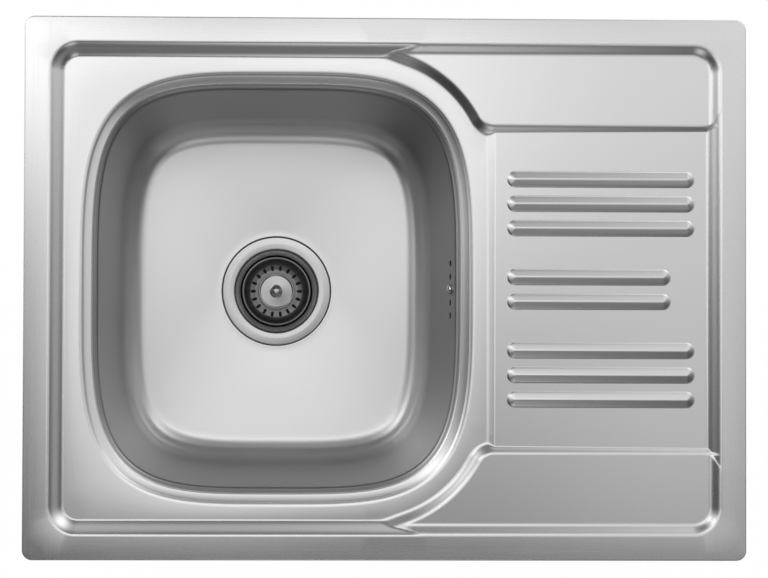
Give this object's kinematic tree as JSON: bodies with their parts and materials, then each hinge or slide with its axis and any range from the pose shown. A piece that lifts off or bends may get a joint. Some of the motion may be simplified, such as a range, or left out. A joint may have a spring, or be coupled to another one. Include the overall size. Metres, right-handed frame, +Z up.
{
  "type": "kitchen sink with drainboard",
  "caption": "Inset stainless kitchen sink: one deep bowl on the left, a ribbed drainboard on the right, a strainer waste with lift-out basket, an overflow and swinging rim clips.",
  "frame": {"origin": "centre of the rim outline in plan, at the height of the worktop's upper face, which the rim seal rests on", "axes": "+X from the bowl towards the drainer, +Y towards the back edge, +Z up"},
  "size_m": [0.64, 0.48, 0.2455],
  "materials": {
    "deck_steel": "fine linen brushing, satin",
    "bowl_steel": "satin, drawn",
    "waste_steel": "bright satin",
    "basket_steel": "bright",
    "knob_steel": "turned and polished",
    "screw_steel": "polished",
    "zinc_plate": "zinc plated",
    "insert_brass": "plain",
    "black_rubber": "matt",
    "seal_foam": "closed-cell foam",
    "pad_grey": "matt bitumen pad",
    "white_plastic": "moulded polypropylene",
    "hose_plastic": "ribbed polypropylene"
  },
  "bodies": {
    "sink": {"sink_top": "deck_steel", "sink_bowl": "bowl_steel", "sound_pad": "pad_grey", "rim_seal": "seal_foam", "rim_rail_front": "zinc_plate", "rim_rail_back": "zinc_plate", "rim_rail_left": "zinc_plate", "rim_rail_right": "zinc_plate", "clip_bracket_front_1": "zinc_plate", "clip_bracket_front_2": "zinc_plate", "clip_bracket_back_1": "zinc_plate", "clip_bracket_back_2": "zinc_plate", "clip_bracket_left": "zinc_plate", "clip_bracket_right": "zinc_plate", "waste_flange": "waste_steel", "flange_gasket": "black_rubber", "body_gasket": "black_rubber", "overflow_gasket": "black_rubber", "waste_body": "white_plastic", "overflow_housing": "white_plastic", "overflow_nut_top": "white_plastic", "overflow_nut_bottom": "white_plastic", "overflow_hose": "hose_plastic", "centre_screw": "screw_steel", "overflow_screw": "screw_steel", "screw_insert": "insert_brass"},
    "strainer_basket": {"basket": "basket_steel", "basket_seal": "black_rubber", "basket_stem": "screw_steel", "basket_knob": "knob_steel"},
    "clip_front_1": {"clip_screw_front_1": "zinc_plate"},
    "jaw_front_1": {"clip_jaw_front_1": "zinc_plate"},
    "clip_front_2": {"clip_screw_front_2": "zinc_plate"},
    "jaw_front_2": {"clip_jaw_front_2": "zinc_plate"},
    "clip_back_1": {"clip_screw_back_1": "zinc_plate"},
    "jaw_back_1": {"clip_jaw_back_1": "zinc_plate"},
    "clip_back_2": {"clip_screw_back_2": "zinc_plate"},
    "jaw_back_2": {"clip_jaw_back_2": "zinc_plate"},
    "clip_left": {"clip_screw_left": "zinc_plate"},
    "jaw_left": {"clip_jaw_left": "zinc_plate"},
    "clip_right": {"clip_screw_right": "zinc_plate"},
    "jaw_right": {"clip_jaw_right": "zinc_plate"}
  },
  "joints": [
    {"name": "basket_lift", "type": "slide", "parent": "sink", "child": "strainer_basket", "axis": [0, 0, 1], "range_m": [0, 0.2]},
    {"name": "clip_swing_front_1", "type": "hinge", "parent": "sink", "child": "clip_front_1", "pos_m": [-0.18, -0.206, -0.03], "axis": [0, 0, -1], "range_deg": [0, 90]},
    {"name": "jaw_climb_front_1", "type": "slide", "parent": "clip_front_1", "child": "jaw_front_1", "axis": [0, 0, 1], "range_m": [0, 0.019]},
    {"name": "clip_swing_front_2", "type": "hinge", "parent": "sink", "child": "clip_front_2", "pos_m": [0.17, -0.206, -0.03], "axis": [0, 0, -1], "range_deg": [0, 90]},
    {"name": "jaw_climb_front_2", "type": "slide", "parent": "clip_front_2", "child": "jaw_front_2", "axis": [0, 0, 1], "range_m": [0, 0.019]},
    {"name": "clip_swing_back_1", "type": "hinge", "parent": "sink", "child": "clip_back_1", "pos_m": [-0.18, 0.206, -0.03], "axis": [0, 0, 1], "range_deg": [0, 90]},
    {"name": "jaw_climb_back_1", "type": "slide", "parent": "clip_back_1", "child": "jaw_back_1", "axis": [0, 0, 1], "range_m": [0, 0.019]},
    {"name": "clip_swing_back_2", "type": "hinge", "parent": "sink", "child": "clip_back_2", "pos_m": [0.17, 0.206, -0.03], "axis": [0, 0, 1], "range_deg": [0, 90]},
    {"name": "jaw_climb_back_2", "type": "slide", "parent": "clip_back_2", "child": "jaw_back_2", "axis": [0, 0, 1], "range_m": [0, 0.019]},
    {"name": "clip_swing_left", "type": "hinge", "parent": "sink", "child": "clip_left", "pos_m": [-0.286, 0, -0.03], "axis": [0, 0, 1], "range_deg": [0, 90]},
    {"name": "jaw_climb_left", "type": "slide", "parent": "clip_left", "child": "jaw_left", "axis": [0, 0, 1], "range_m": [0, 0.019]},
    {"name": "clip_swing_right", "type": "hinge", "parent": "sink", "child": "clip_right", "pos_m": [0.286, 0, -0.03], "axis": [0, 0, 1], "range_deg": [0, 90]},
    {"name": "jaw_climb_right", "type": "slide", "parent": "clip_right", "child": "jaw_right", "axis": [0, 0, 1], "range_m": [0, 0.019]}
  ]
}
